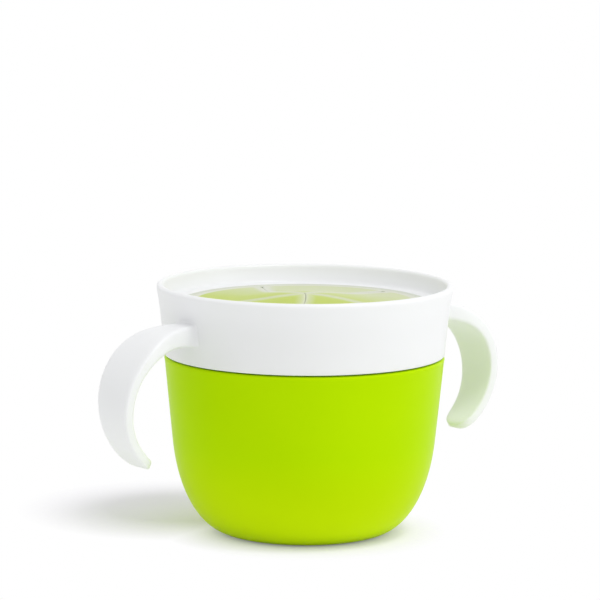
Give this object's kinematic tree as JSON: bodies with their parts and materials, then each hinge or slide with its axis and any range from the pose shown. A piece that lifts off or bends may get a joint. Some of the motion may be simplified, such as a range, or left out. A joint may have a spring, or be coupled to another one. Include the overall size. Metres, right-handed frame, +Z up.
{
  "type": "toddler snack container",
  "caption": "Round-bellied snack bowl with a screw-on collar, open-ended hook handles on both sides, and a recessed lid whose soft slit flaps let a hand through.",
  "frame": {"origin": "centre of the base, on the surface that the container stands on", "axes": "+Z up through the open rim; X through the two handles; Y across the gap between them"},
  "size_m": [0.1454, 0.0922, 0.0781],
  "materials": {
    "green_plastic": "smooth, softly glossy, faintly translucent polypropylene",
    "white_plastic": "satin polypropylene",
    "frame_plastic": "satin translucent polypropylene",
    "soft_membrane": "matt translucent thermoplastic elastomer"
  },
  "bodies": {
    "bowl": {"bowl": "green_plastic"},
    "lid_insert": {"flap_frame": "frame_plastic", "soft_ring": "soft_membrane"},
    "collar": {"handled_collar": "white_plastic"},
    "flap_1": {"flap_1": "soft_membrane"},
    "flap_2": {"flap_2": "soft_membrane"},
    "flap_3": {"flap_3": "soft_membrane"},
    "flap_4": {"flap_4": "soft_membrane"},
    "flap_5": {"flap_5": "soft_membrane"}
  },
  "joints": [
    {"name": "lid_lift", "type": "slide", "parent": "bowl", "child": "lid_insert", "axis": [0, 0, 1], "range_m": [0, 0.0101]},
    {"name": "collar_turn", "type": "hinge", "parent": "lid_insert", "child": "collar", "pos_m": [0, 0, 0.0652], "axis": [0, 0, 1], "range_deg": [0, 400]},
    {"name": "flap_1_bend", "type": "hinge", "parent": "lid_insert", "child": "flap_1", "pos_m": [0.0203, 0.01765, 0.0718], "axis": [0.6561, -0.7547, 0], "range_deg": [-40, 60], "stiffness_Nm_per_rad": 0.01},
    {"name": "flap_2_bend", "type": "hinge", "parent": "lid_insert", "child": "flap_2", "pos_m": [-0.01051, 0.02476, 0.0718], "axis": [0.9205, 0.3907, 0], "range_deg": [-40, 60], "stiffness_Nm_per_rad": 0.01},
    {"name": "flap_3_bend", "type": "hinge", "parent": "lid_insert", "child": "flap_3", "pos_m": [-0.0268, -0.00234, 0.0718], "axis": [-0.0872, 0.9962, 0], "range_deg": [-40, 60], "stiffness_Nm_per_rad": 0.01},
    {"name": "flap_4_bend", "type": "hinge", "parent": "lid_insert", "child": "flap_4", "pos_m": [-0.00605, -0.02621, 0.0718], "axis": [-0.9744, 0.225, 0], "range_deg": [-40, 60], "stiffness_Nm_per_rad": 0.01},
    {"name": "flap_5_bend", "type": "hinge", "parent": "lid_insert", "child": "flap_5", "pos_m": [0.02306, -0.01385, 0.0718], "axis": [-0.515, -0.8572, 0], "range_deg": [-40, 60], "stiffness_Nm_per_rad": 0.01}
  ],
  "couplings": [
    {"joint": "lid_lift", "follows": "collar_turn", "m_per_rad": 0.0014324}
  ]
}
